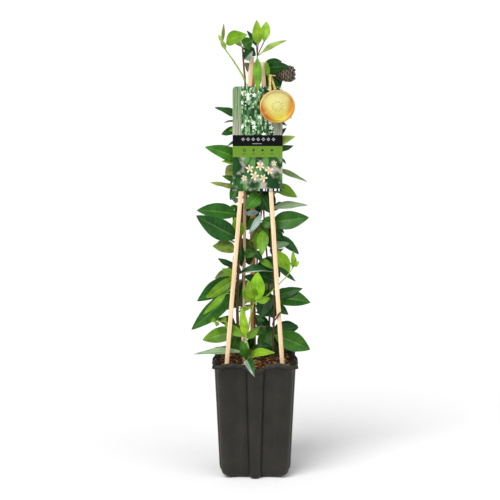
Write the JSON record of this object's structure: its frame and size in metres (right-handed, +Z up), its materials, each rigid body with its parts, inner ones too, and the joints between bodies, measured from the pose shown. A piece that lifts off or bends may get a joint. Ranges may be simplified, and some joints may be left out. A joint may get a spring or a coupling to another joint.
{
  "type": "potted star jasmine",
  "caption": "Star jasmine trained up a tripod of split canes in a deep square ribbed nursery pot, with a label card and a gold disc.",
  "frame": {"origin": "middle of the pot's flat underside", "axes": "+Z up along the pot and canes, -Y towards the side with the label card"},
  "size_m": [0.183, 0.1922, 0.6972],
  "materials": {
    "pot": "dark warm grey, satin",
    "soil": null,
    "cane_front_left": "pale split wood, bare",
    "cane_front_right": "pale split wood, bare",
    "cane_back": "pale split wood, bare",
    "starter_cane": "pale split wood, bare",
    "cane_tie": "dark coated wire",
    "label_card": "printed plastic card",
    "card_ring": "dark coated wire",
    "gold_disc": "gold-coloured, shiny",
    "disc_strap": "gold-coloured, shiny",
    "cone_ornament": "dark brown scales",
    "vine_left": null,
    "vine_right": null,
    "vine_middle": null,
    "vine_back_left": null,
    "vine_back_right": null,
    "front_shoot": null,
    "top_left_shoot": null
  },
  "bodies": {
    "root": {"pot": "pot", "soil": "soil", "cane_front_left": "cane_front_left", "cane_front_right": "cane_front_right", "cane_back": "cane_back", "starter_cane": "starter_cane", "cane_tie": "cane_tie", "label_card": "label_card", "card_ring": "card_ring", "gold_disc": "gold_disc", "disc_strap": "disc_strap", "cone_ornament": "cone_ornament", "vine_left": "vine_left", "vine_right": "vine_right", "vine_middle": "vine_middle", "vine_back_left": "vine_back_left", "vine_back_right": "vine_back_right", "front_shoot": "front_shoot", "top_left_shoot": "top_left_shoot"}
  },
  "joints": []
}
